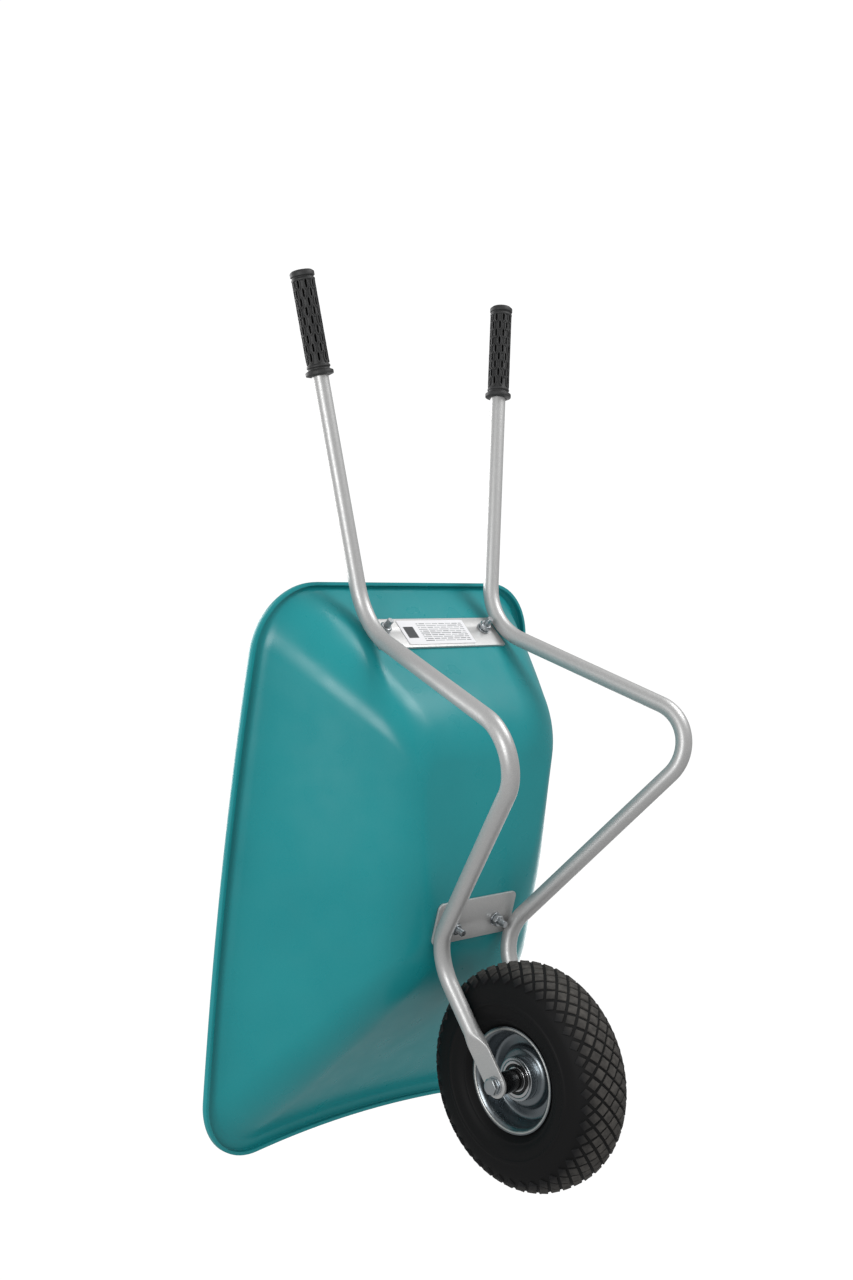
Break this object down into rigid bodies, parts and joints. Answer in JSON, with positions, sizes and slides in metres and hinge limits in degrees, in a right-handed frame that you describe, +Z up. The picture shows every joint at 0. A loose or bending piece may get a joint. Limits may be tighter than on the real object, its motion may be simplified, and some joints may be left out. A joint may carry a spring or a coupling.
{
  "type": "wheelbarrow",
  "caption": "Single-wheel barrow: moulded tray on two bent tubes whose bends form the feet, air-filled wheel between flattened tube ends, grips on the handles.",
  "frame": {"origin": "on the ground, under the middle of the whole barrow", "axes": "+X towards the wheel, +Y to the left, +Z up"},
  "size_m": [1.0574, 0.5022, 0.4351],
  "materials": {
    "tray_hdpe": "satin moulded polyethylene, blue-green",
    "frame_paint": "silver powder coat on steel",
    "grip_pvc": "black moulded vinyl",
    "bush_nylon": "black nylon",
    "label_film": "printed film",
    "tyre_rubber": "matt black rubber",
    "tube_rubber": "black butyl rubber",
    "zinc_steel": "bright zinc plate",
    "bearing_steel": "polished bearing steel",
    "valve_brass": "turned brass"
  },
  "bodies": {
    "frame": {"tray": "tray_hdpe", "left_tube": "frame_paint", "right_tube": "frame_paint", "front_plate": "frame_paint", "rear_plate": "frame_paint", "rating_label": "label_film", "left_grip": "grip_pvc", "right_grip": "grip_pvc", "tray_bolt_front_left": "zinc_steel", "tray_washer_front_left": "zinc_steel", "tray_nut_front_left": "zinc_steel", "tray_bolt_front_right": "zinc_steel", "tray_washer_front_right": "zinc_steel", "tray_nut_front_right": "zinc_steel", "tray_bolt_rear_left": "zinc_steel", "tray_washer_rear_left": "zinc_steel", "tray_nut_rear_left": "zinc_steel", "tray_bolt_rear_right": "zinc_steel", "tray_washer_rear_right": "zinc_steel", "tray_nut_rear_right": "zinc_steel", "axle_bolt": "zinc_steel", "axle_nut": "zinc_steel", "axle_washer_left": "zinc_steel", "axle_washer_right": "zinc_steel", "spacer_bush_left": "bush_nylon", "spacer_bush_right": "bush_nylon", "bearing_sleeve": "zinc_steel", "bearing_inner_left": "bearing_steel", "bearing_inner_right": "bearing_steel"},
    "wheel": {"tyre": "tyre_rubber", "inner_tube": "tube_rubber", "valve_stem": "valve_brass", "valve_cap": "bush_nylon", "rim_left": "zinc_steel", "rim_right": "zinc_steel", "hub": "zinc_steel", "bearing_outer_left": "bearing_steel", "bearing_outer_right": "bearing_steel", "bearing_seal_left": "bush_nylon", "bearing_seal_right": "bush_nylon"}
  },
  "joints": [
    {"name": "wheel_spin", "type": "hinge", "parent": "frame", "child": "wheel", "pos_m": [0.39941, 0, 0.13], "axis": [0, 1, 0], "continuous": true}
  ]
}
